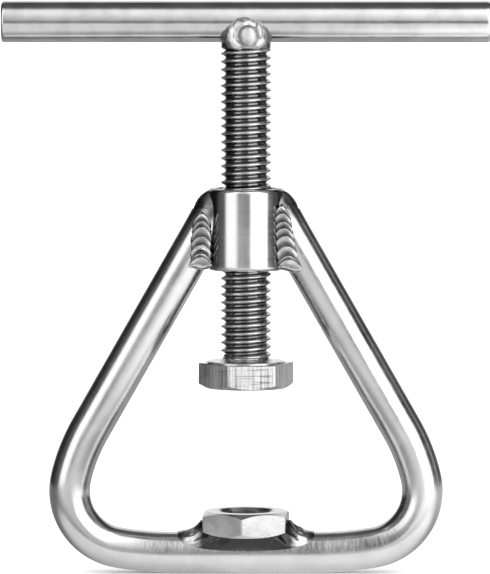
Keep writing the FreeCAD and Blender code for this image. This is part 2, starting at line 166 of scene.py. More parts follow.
class Gauge(Enum):
    """What a tint's limits are measured along."""

    ACROSS = "millimetres from the middle along X, either way"
    HEIGHT = "millimetres up Z"
    RADIUS = "millimetres out from the screw's axis"
    RIPPLE = "how low a weld's ripple lies, 0 to 1"


@dataclass(frozen=True)
class Tint:
    """A darker colour between two limits of a gauge; on most finishes it is painted shade in hollows,
    on flanks and under the anvil nut.
    """

    gauge: Gauge
    low: float
    high: float
    soft: float
    shade: str
    strength: float = 1.0

    def mask(self, tree: NodeTree) -> NodeSocket:
        """Add the nodes that give the tint's strength inside its limits and 0 outside them."""
        if self.gauge is Gauge.RIPPLE:
            reading = add_node(tree, "Attribute", {"attribute_name": RIPPLE})["Fac"]
        else:
            x, _, z, out = readings(tree, add_node(tree, "TexCoord")["Object"])
            across = add_node(tree, "Math", {"operation": "ABSOLUTE"}, (x,))[0]
            reading = {Gauge.ACROSS: across, Gauge.HEIGHT: z, Gauge.RADIUS: out}[self.gauge]
        inside = window(tree, reading, self.low, self.high, self.soft)
        return add_node(tree, "Math", TIMES, (inside, self.strength))[0]


@dataclass(frozen=True)
class SteelFinish:
    """Austenitic stainless steel, bare, with the marks that one way of working leaves, darkened by its
    tints, mostly as painted shade.

    A belt_hatch_and_shade pair gives where the belt hatch, with the nut's painted shade over it, starts
    and ends along the rod.
    """

    name: str
    tint: str
    shade: str
    roughness: float
    swing: float
    mark_length: float
    mark_width: float
    mark_depth: float
    blotch: float
    lay: Lay
    scratch: float = 0.0
    tints: tuple[Tint, ...] = ()
    belt_hatch_and_shade: tuple[float, float] | None = None
    vice_marks: bool = False

    def material(self) -> bpy.types.Material:
        """Build the node material.

        Returns:
            A metal whose colour, roughness and bump all wander with the marks.
        """
        made = bpy.data.materials.new(self.name)
        tree = empty_tree(made)
        if self.lay is Lay.BENT_ROD:
            place = add_node(tree, "Attribute", {"attribute_name": GRAIN})["Vector"]
        else:
            place = add_node(tree, "TexCoord")["Object"]
        long, wide = self.mark_length, self.mark_width
        cell = {Lay.BENT_ROD: (long, wide, wide), Lay.ALONG_X: (long, wide, wide),
                Lay.TURNED: (long, long, wide), Lay.SCATTERED: (wide, wide, wide)}[self.lay]
        marks = pattern(tree, place, cell, detail=3.0)
        blotches = pattern(tree, place, (self.blotch,) * 3, detail=4.0)
        shine = add_node(tree, "MapRange", {}, (blotches, 0.35, 0.6, 0.0, 1.0))[0]
        layers = [(shine, self.tint), *((tint.mask(tree), tint.shade) for tint in self.tints)]
        # Belt marks near the anvil, darkened further with painted shade from the nut.
        if self.belt_hatch_and_shade:
            layers.append((self.belt_hatch_and_shade_mask(tree, place), "#5C5C5C"))
        if self.vice_marks:
            layers.append((self.vice_mask(tree, place), "#626262"))
        colour = linear(self.shade)
        for mask, shade in layers:
            colour = add_node(tree, "Mix", {"data_type": "RGBA"},
                              {0: mask, 6: colour, 7: linear(shade)})[2]
        both = add_node(tree, "Math", PLUS, (marks, blotches))[0]
        rough = add_node(tree, "MapRange", {}, (both, 0.7, 1.3, self.roughness - self.swing,
                                                self.roughness + self.swing))[0]
        bump = add_node(tree, "Bump", {}, {"Strength": 1.0, "Distance": self.mark_depth * MM,
                                           "Height": marks})["Normal"]
        if self.scratch:
            bump = self.scratched(tree, place, bump)
        shader = add_node(tree, "BsdfPrincipled", {}, {"Metallic": 1.0, "Base Color": colour,
                                                       "Roughness": rough, "Normal": bump})
        add_node(tree, "OutputMaterial", {}, {"Surface": shader[0]})
        return made

    def belt_hatch_and_shade_mask(self, tree: NodeTree, place: NodeSocket) -> NodeSocket:
        """Give a hatch of 0.3 mm marks across the rod in broad patches, on the front upper face by the
        anvil: belt marks, with painted shade from the nut.
        """
        run, across, out, _ = readings(tree, place)
        mask = add_node(tree, "Math", PLUS, tuple(
            add_node(tree, "MapRange", {}, limits)[0] for limits in (
                (pattern(tree, place, (0.3, 1.2, 1.2), detail=3.0), 0.3, 0.7, 0.1, 0.55),
                (pattern(tree, place, (7.0, 7.0, 7.0), detail=2.0), 0.35, 0.65, 0.1, 0.4))))[0]
        for reading, low, high, soft in ((run, *self.belt_hatch_and_shade, 5.0), (out, 0.25, 2.1, 0.5),
                                         (across, -9.0, 0.0, 0.3)):
            mask = add_node(tree, "Math", TIMES, (mask, window(tree, reading, low, high, soft)))[0]
        return mask

    def vice_mask(self, tree: NodeTree, place: NodeSocket) -> NodeSocket:
        """Give the upright and level scores that a vice's toothed jaws leave on a head's flats."""
        long, wide = 6.0, 0.3
        upright = pattern(tree, place, (wide, wide, long), detail=2.0)
        level = pattern(tree, place, (long, long, wide), detail=1.0)
        held = window(tree, readings(tree, place)[0], -4.0, 4.0, 0.6)
        # Only the noise's peaks pass, so that the scores are thin and sparse.
        upright, level = (add_node(tree, "MapRange", {}, (score, low, 0.68, 0.0, 0.6))[0]
                          for score, low in ((upright, 0.45), (level, 0.56)))
        level = add_node(tree, "Math", TIMES, (held, level))[0]
        return add_node(tree, "Math", PLUS, (upright, level))[0]

    def scratched(self, tree: NodeTree, place: NodeSocket, below: NodeSocket) -> NodeSocket:
        """Add sparse handling scratches, 0.3 mm wide and a few millimetres long, over a bump.

        Args:
            tree: The material's node tree.
            place: Where the surface is.
            below: The normal with the finer marks.

        Returns:
            The normal with the scratches too.
        """
        field = pattern(tree, place, (6.25, 0.303, 0.303), detail=1.0, turn=(0.4, 0.9, 0.7))
        cut = add_node(tree, "MapRange", {}, (field, 0.6, 0.72, 1.0, 0.0))[0]
        return add_node(tree, "Bump", {}, {"Strength": 1.0, "Distance": self.scratch * MM,
                                           "Height": cut, "Normal": below})["Normal"]


# Each finish gives its name, tint, shade, roughness and its swing, the marks' length, width and
# depth, the blotches' size and the lay of the marks, in that order.

# 304 rod, linished with a fine belt along its length: crisp bands with hair-fine lengthwise lines.
LINISHED_ROD = SteelFinish("Stainless304_linished_rod", "#CACACA", "#C0C0C0", 0.21, 0.06,
                           1.1, 0.20, 0.0075, 5.0, Lay.BENT_ROD, 0.0015, belt_hatch_and_shade=(-16.0, 25.0),
                           tints=(Tint(Gauge.HEIGHT, 55.6, 80.0, 1.3, "#6A6A6A", 0.8),))
# 304 bright-drawn bar: smoother than the frame, with long faint draw lines and a mottled polish.
DRAWN_BAR = SteelFinish("Stainless304_bright_drawn_bar", "#CACACA", "#BEBEBE", 0.15, 0.05,
                        1.6, 0.22, 0.0035, 3.2, Lay.ALONG_X, 0.001)
# 303 bar turned in a lathe: rings of tool marks, drawn coarser than the real feed so that they show.
# Its flanks, from 4.35 mm out either way along X, are darkened with painted shade.
TURNED_BUSH = SteelFinish("Stainless303_turned_bush", "#CACACA", "#C1C1C1", 0.17, 0.04,
                          25.0, 0.26, 0.0022, 5.0, Lay.TURNED,
                          tints=(Tint(Gauge.ACROSS, 4.35, 9.0, 0.45, "#4E4E4E", 0.9),))
# A2 nut and screw head, cold formed: flat bright faces with a few handling scratches.
COLD_FORMED = SteelFinish("StainlessA2_cold_formed_hex", "#C9C9C9", "#BBBBBB", 0.19, 0.04,
                          1.2, 0.7, 0.003, 3.0, Lay.SCATTERED, 0.004)
# The same head after a vice held it for welding: toothed jaws scored its flats both ways.
SCORED_HEAD = replace(COLD_FORMED, name="StainlessA2_vice_scored_head", vice_marks=True)
# A2 rolled thread: burnished flanks and crests, with painted shade darkening the roots.
ROLLED_THREAD = SteelFinish("StainlessA2_rolled_thread", "#C2C2C2", "#A8A8A8", 0.15, 0.04,
                            1.0, 0.45, 0.003, 1.6, Lay.SCATTERED,
                            tints=(Tint(Gauge.RADIUS, 0.0, 3.62, 0.2, "#505050", 0.75),))
# TIG filler, as laid and brushed: glossy, freezing ripples in the mesh, a fine orange-peel skin here,
# and painted shade darkening each ripple towards its foot.
TIG_BEAD = SteelFinish("Stainless308_TIG_bead", "#D2D2D2", "#B4B4B4", 0.16, 0.06,
                       1.0, 0.42, 0.004, 1.3, Lay.SCATTERED,
                       tints=(Tint(Gauge.RIPPLE, 0.55, 2.0, 0.3, "#4A4A4A", 0.9),))
# TIG filler heaped up and left to cool in one lump: duller, with a frosted skin, and painted shade
# darkening its left and right ends.
HEAPED_BEAD = SteelFinish("Stainless308_heaped_weld", "#D2D2D2", "#B4B4B4", 0.45, 0.08,
                          1.0, 0.5, 0.005, 1.0, Lay.SCATTERED,
                          tints=(Tint(Gauge.ACROSS, 2.75, 6.0, 0.45, "#565656", 0.8),))
# TIG filler ground flush with a belt: duller, with short coarse scratches.
GROUND_BEAD = SteelFinish("Stainless308_ground_weld", "#7C7C7C", "#5A5A5A", 0.27, 0.08,
                          6.0, 0.32, 0.012, 1.1, Lay.TURNED, 0.014)
# TIG filler under the nut: the same bead, darkened with painted shade under the nut and at its toes.
SADDLE_BEAD_SHADED = replace(TIG_BEAD, name="Stainless308_saddle_bead_painted_shade", roughness=0.24,
                      tints=(Tint(Gauge.ACROSS, -1.0, 7.6, 0.9, "#3A3A3A"),
                             Tint(Gauge.ACROSS, 9.7, 12.0, 0.6, "#5A5A5A")))


# ---------------------------------------------------------------- modelling helpers

def loft(bm: BMesh, spokes: int, rings: int, place: Callable[[float, int], Vector],
         closed: bool = True) -> None:
    """Extrude a loop through a run of rings, each vertex placed by a rule.

    Args:
        bm: The mesh to build in.
        spokes: Vertices round each ring. Each vertex keeps the number of its spoke.
        rings: How many rings there are.
        place: Gives a vertex's place from its angle round the ring and its ring.
        closed: Whether the first and last rings are capped.
    """
    layer = bm.verts.layers.int.get("spoke") or bm.verts.layers.int.new("spoke")
    verts = bmesh.ops.create_circle(bm, cap_ends=False, radius=1.0, segments=spokes)["verts"]
    for spoke, vert in enumerate(verts):
        vert[layer] = spoke
        vert.co = place(tau * spoke / spokes, 0)
    edges = list({edge for vert in verts for edge in vert.link_edges})
    if closed:
        bmesh.ops.contextual_create(bm, geom=edges)
    for ring in range(1, rings):
        made = bmesh.ops.extrude_edge_only(bm, edges=edges)["geom"]
        fresh = {part for part in made if isinstance(part, BMVert)}
        edges = [part for part in made if isinstance(part, BMEdge) and set(part.verts) <= fresh]
        for vert in fresh:
            vert.co = place(tau * vert[layer] / spokes, ring)
    if closed:
        bmesh.ops.contextual_create(bm, geom=edges)


def lathe(bm: BMesh, outline: list[tuple[float, float]], steps: int, pitch: float = 0.0,
          closed: bool = True) -> None:
    """Spin an outline a full turn round Z.

    Args:
        bm: The mesh to build in.
        outline: Its corners as (radius, height) in order, in millimetres.
        steps: Facets round the turn.
        pitch: Rise in the turn. Without one the turn's ends are joined.
        closed: Whether the outline is a ring.
    """
    verts = [bm.verts.new((radius, 0.0, height)) for radius, height in outline]
    ends = verts[1:] + verts[:1] if closed else verts[1:]
    edges = [bm.edges.new(pair) for pair in zip(verts, ends)]
    bmesh.ops.spin(bm, geom=verts + edges, cent=(0, 0, 0), axis=(0, 0, 1),
                   dvec=(0, 0, pitch / steps), angle=tau, steps=steps, use_merge=not pitch,
                   use_duplicate=False)


def coil(bm: BMesh, outline: list[tuple[float, float]], pitch: float, turns: int, steps: int,
         closed: bool) -> None:
    """Spin an outline up a helix, one turn first and then copies of it end to end.

    Args:
        bm: An empty mesh to build in.
        outline: The outline's corners as (radius, height), in millimetres.
        pitch: Rise in one turn.
        turns: How many turns there are.
        steps: Facets in a turn.
        closed: Whether the outline is a ring whose two ends are capped.
    """
    lathe(bm, outline, steps, pitch, closed)
    one_turn = [*bm.verts, *bm.edges, *bm.faces]
    for turn in range(1, turns):
        copy = bmesh.ops.duplicate(bm, geom=one_turn)["geom"]
        bmesh.ops.translate(bm, vec=(0, 0, pitch * turn),
                            verts=[part for part in copy if isinstance(part, BMVert)])
    bmesh.ops.remove_doubles(bm, verts=bm.verts, dist=1e-3)
    if closed:
        bmesh.ops.holes_fill(bm, edges=[edge for edge in bm.edges if edge.is_boundary], sides=0)


def cut_off(bm: BMesh, point: Vector, normal: Vector,
            keep: Callable[[Vector], bool] = lambda co: False) -> None:
    """Cut a mesh by a plane, drop what lies in front of it and close the cut.

    Args:
        bm: The mesh to cut.
        point: A point on the plane.
        normal: The way that the dropped side lies.
        keep: Vertices for which this is true are left out of the cut.
    """
    verts = [vert for vert in bm.verts if not keep(vert.co)]
    chosen = set(verts)
    edges = [edge for edge in bm.edges if set(edge.verts) <= chosen]
    faces = [face for face in bm.faces if set(face.verts) <= chosen]
    cut = bmesh.ops.bisect_plane(bm, geom=verts + edges + faces, dist=1e-5, plane_co=point,
                                 plane_no=normal, clear_outer=True, clear_inner=False)
    rim = [part for part in cut["geom_cut"] if isinstance(part, BMEdge)]
    bmesh.ops.holes_fill(bm, edges=rim, sides=0)


def fused(bm: BMesh, relax: int) -> BMesh:
    """Melt overlapping lumps into one skin, as a weld pool does.

    Args:
        bm: The lumps. It is freed.
        relax: How many times the skin is smoothed.

    Returns:
        A new mesh of the one skin.
    """
    carrier = placed(bm, "melt")
    melt = carrier.modifiers.new("melt", "REMESH")
    melt.mode, melt.voxel_size = "VOXEL", VOXEL
    bpy.context.view_layer.update()
    graph = bpy.context.evaluated_depsgraph_get()
    skin = bpy.data.meshes.new_from_object(carrier.evaluated_get(graph))
    made = bmesh.new()
    made.from_mesh(skin)
    stale = (carrier.data, skin)
    bpy.data.objects.remove(carrier)
    for mesh in stale:
        bpy.data.meshes.remove(mesh)
    for _ in range(relax):
        bmesh.ops.smooth_vert(made, verts=made.verts, factor=0.5, use_axis_x=True,
                              use_axis_y=True, use_axis_z=True)
    return made


def roughen(bm: BMesh, size: float, height: float, seed: float) -> None:
    """Push a skin in and out by smooth noise.

    Args:
        bm: The mesh to change.
        size: Width of one bump in millimetres.
        height: How far the skin moves, in millimetres.
        seed: Shifts the noise, so that no two welds match.
    """
    bm.normal_update()
    shift = Vector((seed, seed * 2, seed * 3))
    moves = [(vert, vert.normal * noise.noise(vert.co / size + shift) * height) for vert in bm.verts]
    for vert, move in moves:
        vert.co += move


def blob(bm: BMesh, centre: Vector, radii: tuple[float, float, float],
         turn: Matrix | None = None) -> None:
    """Add one squashed ball of metal.

    Args:
        bm: The mesh to add it to.
        centre: Its middle, in millimetres.
        radii: Half its width, depth and height.
        turn: How it is tilted.
    """
    place = Matrix.Translation(centre) @ (turn or Matrix.Identity(4)) @ Matrix.Diagonal((*radii, 1.0))
    bmesh.ops.create_uvsphere(bm, u_segments=20, v_segments=12, radius=1.0, matrix=place)


def placed(bm: BMesh, name: str, *materials: bpy.types.Material) -> bpy.types.Object:
    """Put a mesh in the scene as an object with its materials, and free the bmesh."""
    mesh = bpy.data.meshes.new(name)
    bm.to_mesh(mesh)
    bm.free()
    for material in materials:
        mesh.materials.append(material)
    made = bpy.data.objects.new(name, mesh)
    bpy.context.scene.collection.objects.link(made)
    return made


def finish_piece(bm: BMesh, name: str, body: str, finish: SteelFinish,
                 stands_for: tuple[str, ...], crisp: float = FACET, machined: bool = False) -> None:
    """Turn a mesh in millimetres into a finished piece that rides on its body.

    Args:
        bm: The mesh. It is freed.
        name: The piece's name.
        body: The CAD body that carries it.
        finish: How its steel looks.
        stands_for: The CAD nodes that it replaces.
        crisp: Edges that turn more than this angle stay sharp.
        machined: Whether its large faces are true, and only its rounded edges shade.
    """
    bmesh.ops.remove_doubles(bm, verts=bm.verts, dist=1e-4)
    bmesh.ops.recalc_face_normals(bm, faces=bm.faces)
    bmesh.ops.scale(bm, vec=(MM, MM, MM), verts=bm.verts)
    for face in bm.faces:
        face.smooth = True
    for edge in bm.edges:
        edge.smooth = edge.calc_face_angle(pi) < crisp
    piece = placed(bm, name, finish.material())
    if machined:
        true = piece.modifiers.new("true_faces", "WEIGHTED_NORMAL")
        true.keep_sharp, true.weight = True, 100
    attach(piece, body)
    if stands_for:
        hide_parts(*stands_for)
    LOG.info("%s: %d faces on %s", name, len(piece.data.polygons), body)


def span(node: str) -> tuple[Vector, Vector]:
    """Give a CAD node's lowest and highest corners in millimetres."""
    low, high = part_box(node)
    return low / MM, high / MM


# ---------------------------------------------------------------- the object

@dataclass
class RodFrame:
    """The round rod, bent to a rounded triangle whose legs end against the bush.

    The lead, corner and shoulder bends are each a radius in millimetres and an angle in degrees.
    A flat seat is sunk in the foot for the anvil nut.
    """

    rod_radius: float = 3.2
    foot_half: float = 11.3
    lead: tuple[float, float] = (51.5, 9.8)
    corner: tuple[float, float] = (9.05, 93.2)
    shoulder: tuple[float, float] = (28.5, 16.7)
    leg_run: float = 41.0
    seat_half: float = 7.45
    seat_height: float = 6.0
    seat_wall: float = 0.03
    bush_wall: float = 5.0
    cap_height: float = 57.05
    step: float = 0.7
    spokes: int = 72

    def bends(self) -> list[tuple[float, float]]:
        """List the path's runs as (length, radius), radius 0 for a straight run."""
        arcs = [(radius * radians(angle), radius)
                for radius, angle in (self.lead, self.corner, self.shoulder)]
        return [(self.foot_half, 0.0), *arcs, (self.leg_run, 0.0)]

    def station(self, run: float) -> tuple[float, float, float]:
        """Follow the rod's middle line from the middle of the foot.

        Args:
            run: Distance along the line in millimetres.

        Returns:
            X, Z and the heading in radians.
        """
        x, z, heading = 0.0, self.rod_radius, 0.0
        for length, radius in self.bends():
            part = min(run, length)
            if radius:
                turned = heading + part / radius
                x += radius * (sin(turned) - sin(heading))
                z += radius * (cos(heading) - cos(turned))
                heading = turned
            else:
                x, z = x + part * cos(heading), z + part * sin(heading)
            run -= part
            if run <= 0:
                break
        return x, z, heading

    def rings(self) -> list[float]:
        """List where the rod's rings stand, from the left leg's top to the right's."""
        total = sum(length for length, _ in self.bends())
        count = round(total / self.step)
        even = (total * index / count for index in range(1, count + 1))
        half = sorted([self.seat_half, self.seat_half + self.seat_wall,
                       *(run for run in even if abs(run - self.seat_half) > self.step / 3)])
        return [-run for run in reversed(half)] + [0.0] + half

    def build(self) -> None:
        """Loft the rod along its bends and cut its ends to the bush."""
        bm = bmesh.new()
        grain = bm.verts.layers.float_vector.new(GRAIN)
        stops = self.rings()

        def place(around: float, ring: int) -> Vector:
            """Place one vertex of the rod, with the seat sunk in the foot."""
            across, out = self.rod_radius * cos(around), self.rod_radius * sin(around)
            run = stops[ring]
            x, z, heading = self.station(abs(run))
            point = Vector((x - out * sin(heading), across, z + out * cos(heading)))
            if abs(run) <= self.seat_half:
                point.z = min(point.z, self.seat_height)
            if run < 0:
                point.x = -point.x
            return point

        loft(bm, self.spokes, len(stops), place)
        spoke_layer = bm.verts.layers.int["spoke"]
        for index, vert in enumerate(bm.verts):
            around = tau * vert[spoke_layer] / self.spokes
            run = stops[index // self.spokes]
            vert[grain] = Vector((run, self.rod_radius * cos(around),
                                  self.rod_radius * sin(around))) * MM
        cut_off(bm, Vector((0, 0, self.cap_height)), Vector((0, 0, 1)))
        low = self.cap_height / 2
        for side in (-1, 1):
            cut_off(bm, Vector((side * self.bush_wall, 0, 0)), Vector((-side, 0, 0)),
                    lambda co, side=side: co.z < low or co.x * side < 0)
        finish_piece(bm, "rod_frame", "frame", LINISHED_ROD, ("frame_rod",))


@dataclass
class Thread:
    """A metric thread: one coil of ridge, outside a screw or inside a bore."""

    pitch: float = 1.25
    crest: float = 3.95
    root: float = 3.24
    rounding: float = 0.17
    flank: float = radians(30)
    steps: int = 72

    def outside(self, bm: BMesh, low: float, high: float, phase: float) -> None:
        """Cut a threaded length with flat closed ends.

        Args:
            bm: The mesh to build in.
            low: Bottom of the threaded length.
            high: Top of it.
            phase: Height of a crest's middle on +X.
        """
        turns = ceil((high - low) / self.pitch) + 2
        nose = [(self.crest - self.rounding * (1 - cos(turn)), self.rounding * sin(turn))
                for turn in (radians(degrees) for degrees in range(-60, 61, 20))]
        foot = nose[-1][1] + (nose[-1][0] - self.root) * tan(self.flank)
        outline = [(self.root, -self.pitch / 2), (self.root, -foot), *nose,
                   (self.root, foot), (self.root, self.pitch / 2)]
        first = phase + self.pitch * (floor((low - phase) / self.pitch) - 1)
        coil(bm, [(radius, first + height) for radius, height in outline], self.pitch, turns,
             self.steps, closed=False)
        for height, way in ((low, -1), (high, 1)):
            cut_off(bm, Vector((0, 0, height)), Vector((0, 0, way)))

    def inside(self, bm: BMesh, low: float, high: float, phase: float,
               wall: float, crest: float) -> None:
        """Add a bore's ridge as a closed coil that roots in the bore's wall.

        Args:
            bm: The mesh to add it to.
            low: Bottom of the coil.
            high: Top of it.
            phase: Height of the screw's crest on +X; the ridge runs half a pitch off it.
            wall: Radius of the plain bore.
            crest: Radius of the ridge's top.
        """
        gap = 0.06
        rise = (wall - crest) * tan(self.flank)
        top = self.pitch / 2 - rise - gap
        first = phase + self.pitch / 2
        first += self.pitch * ceil((low + top + rise - first) / self.pitch)
        turns = floor((high - first - top - rise) / self.pitch)
        root = wall + 0.05
        outline = [(root, -top - rise), (crest, -top), (crest, top), (root, top + rise)]
        coil(bm, [(radius, first + height) for radius, height in outline], self.pitch, turns,
             self.steps, closed=True)


@dataclass
class ThreadedBush:
    """The turned bush between the legs."""

    radius: float = 6.0
    edge: float = 0.4
    bore: float = 4.06
    ridge: float = 3.42
    flare: float = 0.8
    phase: float = 34.25

    def build(self) -> None:
        """Turn the bush and thread its bore."""
        low, high = (corner.z for corner in span("threaded_bush"))
        soft = 0.1  # a lathe file takes this much off each arris
        mouth = self.bore + self.flare
        half = [(mouth + soft, low), (self.radius - self.edge - soft, low),
                (self.radius - self.edge, low + soft / 3), (self.radius - soft / 3, low + self.edge),
                (self.radius, low + self.edge + soft), (self.radius, low + self.edge + 3 * soft)]
        top = [(radius, high + low - height) for radius, height in reversed(half)]
        inner = [(mouth, high - soft), (self.bore, high - self.flare),
                 (self.bore, low + self.flare), (mouth, low + soft)]
        bm = bmesh.new()
        Thread().inside(bm, low + self.flare / 2, high - self.flare / 2, self.phase, self.bore,
                        self.ridge)
        lathe(bm, half + top + inner, steps=144)
        finish_piece(bm, "turned_bush", "frame", TURNED_BUSH,
                     ("threaded_bush",), machined=True)


@dataclass
class HexBlank:
    """A hexagon with turned chamfers, the start of a nut or a screw head."""

    turn: float
    flats: float = 13.0
    dome: float = 0.965
    slope: float = 30.0
    arris: float = 0.12
    corner: float = 0.16
    spokes: int = 144

    def reach(self, around: float) -> float:
        """Give the outline's radius at an angle. A corner stands at each sixth of a turn."""
        sector = tau / 6
        return self.flats / 2 / cos(around % sector - sector / 2)

    def shape(self, bm: BMesh, low: float, high: float, chamfer_low: bool,
              chamfer_high: bool, bore: float, mouth: float) -> None:
        """Loft the hexagon from its bore, out, up and back in.

        Args:
            bm: The mesh to build in.
            low: Bottom face.
            high: Top face.
            chamfer_low: Whether the bottom corners are turned off.
            chamfer_high: Whether the top ones are.
            bore: Radius of the hole through it, or 0 for a solid head.
            mouth: Radius of the hole's countersink.
        """
        rim = self.flats / 2 * self.dome
        fall = tan(radians(self.slope))

        def side(height: float, way: int, chamfered: bool) -> list[Callable]:
            """List the rules that give radius and height along one face's edge."""
            if chamfered:
                return [lambda turn: (rim, height),
                        lambda turn: (self.reach(turn), height + way * (self.reach(turn) - rim) * fall)]
            return [lambda turn: (self.reach(turn) - self.arris, height),
                    lambda turn: (self.reach(turn), height + way * self.arris)]

        rules = side(low, 1, chamfer_low) + side(high, -1, chamfer_high)[::-1]
        if bore:
            sink = mouth - bore
            hole = [lambda turn, ring=ring: ring for ring in (
                (mouth, high), (bore, high - sink), (bore, low + sink), (mouth, low))]
            rules = hole[2:] + rules + hole[:3]

        def place(around: float, ring: int) -> Vector:
            """Place one vertex of the hexagon by its ring's rule."""
            radius, height = rules[ring](around)
            around += radians(self.turn)
            return Vector((radius * cos(around), radius * sin(around), height))

        loft(bm, self.spokes, len(rules), place, closed=not bore)
        bmesh.ops.remove_doubles(bm, verts=bm.verts, dist=1e-4)
        self.ease_corners(bm, low, high)

    def ease_corners(self, bm: BMesh, low: float, high: float) -> None:
        """Round the six upright arrises a little, as cold forming does."""
        reach = self.flats / 2 / cos(pi / 6) - 1e-3
        arrises = [edge for edge in bm.edges
                   if all(hypot(v.co.x, v.co.y) > reach and low < v.co.z < high for v in edge.verts)]
        bmesh.ops.bevel(bm, geom=arrises, offset=self.corner, offset_type="OFFSET", segments=3,
                        profile=0.5, affect="EDGES", material=-1, clamp_overlap=True)


@dataclass
class AnvilNut:
    """The thin nut on the foot bar that the nut to be cracked sits on."""

    turn: float = -95.0
    bore: float = 4.06
    ridge: float = 3.42
    mouth: float = 4.5
    plain: float = 0.2

    def build(self) -> None:
        """Form the hexagon and thread its bore."""
        low, high = (corner.z for corner in span("anvil_nut"))
        bm = bmesh.new()
        Thread().inside(bm, low + self.plain, high - self.plain, 0.0, self.bore, self.ridge)
        HexBlank(self.turn).shape(bm, low, high, True, True, self.bore, self.mouth)
        finish_piece(bm, "anvil_nut_piece", "frame", COLD_FORMED,
                     ("anvil_nut",), machined=True)


@dataclass
class PressScrew:
    """The hex-headed screw that carries the cross bar.

    The stub is the plain end that the handle's welds bury, its radius at the foot and above.
    """

    head_turn: float = -112.0
    head_height: float = 3.9
    face_edge: float = 0.1
    core: float = 0.5
    neck_radius: float = 3.5
    neck_height: float = 1.0
    neck_flare: float = 0.75
    tool_mark: float = 0.025
    thread_end: float = 1.1
    stub: tuple[float, float] = (3.5, 3.9)
    stub_top: float = 0.9

    def build(self) -> None:
        """Make the head, the raised face and the threaded shank."""
        press = span("hex_screw")[0].z
        head = bmesh.new()
        HexBlank(self.head_turn).shape(head, press, press + self.head_height, True, False, 0.0, 0.0)
        finish_piece(head, "press_head", "screw", SCORED_HEAD, (),
                     machined=True)

        low, high = span("washer_face")
        inner, rim, edge = 3.0, high.x, self.face_edge
        ring = bmesh.new()
        lathe(ring, [(inner, low.z), (rim, low.z), (rim, high.z - edge), (rim - edge, high.z),
                     (inner, high.z)], steps=128)
        finish_piece(ring, "raised_face", "carrier", COLD_FORMED,
                     ("washer_face",), machined=True)

        thread_low = high.z + self.neck_height
        bar_low = span("handle_bar")[0].z
        shank = bmesh.new()
        Thread().outside(shank, thread_low - 0.25, bar_low - self.thread_end / 2, thread_low)
        neck = [(self.neck_radius + self.neck_flare * (1 - part) ** 2.4
                 + self.tool_mark * sin(part * 30), high.z + self.neck_height * part)
                for part in (index / 24 for index in range(25))]
        thin, wide = self.stub
        start, top = bar_low - self.thread_end, bar_low + self.stub_top
        for outline in ([(self.core, high.z), *neck, (self.core, thread_low)],
                        [(self.core, start), (thin, start), (wide, start + 0.3), (wide, top),
                         (self.core, top)]):
            lathe(shank, outline, steps=96)
        finish_piece(shank, "threaded_shank", "screw", ROLLED_THREAD,
                     ("hex_screw",), crisp=radians(40))


@dataclass
class CrossBar:
    """The round bar that turns the screw."""

    edge: float = 0.4
    spokes: int = 128

    def build(self) -> None:
        """Loft the bar with softly broken ends."""
        low, high = span("handle_bar")
        radius, middle, half = (high.z - low.z) / 2, (high.z + low.z) / 2, high.x
        ends = [(half - self.edge * (1 - cos(turn)), radius - self.edge * (1 - sin(turn)))
                for turn in (radians(degrees) for degrees in (0, 22.5, 45, 67.5, 90))]
        flush = half - 2 * self.edge
        stops = [(-x, r) for x, r in ends]
        stops += [(x, radius) for x in (-flush, -20.0, 0.0, 20.0, flush)] + ends[::-1]

        def place(around: float, ring: int) -> Vector:
            """Place one vertex of the bar."""
            x, reach = stops[ring]
            return Vector((x, reach * cos(around), middle + reach * sin(around)))

        bm = bmesh.new()
        loft(bm, self.spokes, len(stops), place)
        finish_piece(bm, "cross_bar", "screw", DRAWN_BAR, ("handle_bar",),
                     machined=True)


